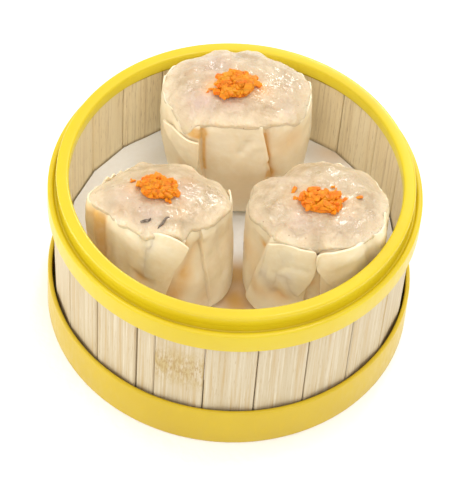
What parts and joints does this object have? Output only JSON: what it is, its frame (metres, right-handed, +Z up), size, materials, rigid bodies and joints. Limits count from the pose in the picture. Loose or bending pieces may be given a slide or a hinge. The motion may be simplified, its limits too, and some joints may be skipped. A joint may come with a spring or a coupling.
{
  "type": "siomay in a steamer basket",
  "caption": "Open-topped siomay dumplings with grated carrot, in a small round bamboo steamer basket with a yellow rim and base.",
  "frame": {"origin": "middle of the basket's underside, on the surface that it stands on", "axes": "+Z up, -Y towards the front of the picture, +X to its right"},
  "size_m": [0.1016, 0.1016, 0.0648],
  "materials": {
    "yellow_plastic": "smooth, semi-gloss",
    "bamboo": "bare, fine upright grain",
    "liner_paper": "matt",
    "dough": "steamed dough, slightly moist and see-through",
    "meat": "steamed minced filling, moist",
    "carrot": "grated carrot, moist"
  },
  "bodies": {
    "root": {"rim_ring": "yellow_plastic", "base_ring": "yellow_plastic", "slat_01": "bamboo", "slat_02": "bamboo", "slat_03": "bamboo", "slat_04": "bamboo", "slat_05": "bamboo", "slat_06": "bamboo", "slat_07": "bamboo", "slat_08": "bamboo", "slat_09": "bamboo", "slat_10": "bamboo", "slat_11": "bamboo", "slat_12": "bamboo", "slat_13": "bamboo", "slat_14": "bamboo", "slat_15": "bamboo", "slat_16": "bamboo", "slat_17": "bamboo", "slat_18": "bamboo", "slat_19": "bamboo", "slat_20": "bamboo", "slat_21": "bamboo", "slat_22": "bamboo", "slat_23": "bamboo", "floor_hoop": "bamboo", "floor_strip_1": "bamboo", "floor_strip_2": "bamboo", "floor_strip_3": "bamboo", "floor_strip_4": "bamboo", "floor_strip_5": "bamboo", "floor_strip_6": "bamboo", "floor_strip_7": "bamboo", "floor_strip_8": "bamboo", "floor_strip_9": "bamboo", "floor_batten_1": "bamboo", "floor_batten_2": "bamboo", "liner": "liner_paper", "wrapper_back": "dough", "filling_back": "meat", "carrot_back": "carrot", "wrapper_left": "dough", "filling_left": "meat", "carrot_left": "carrot", "wrapper_right": "dough", "filling_right": "meat", "carrot_right": "carrot"}
  },
  "joints": []
}
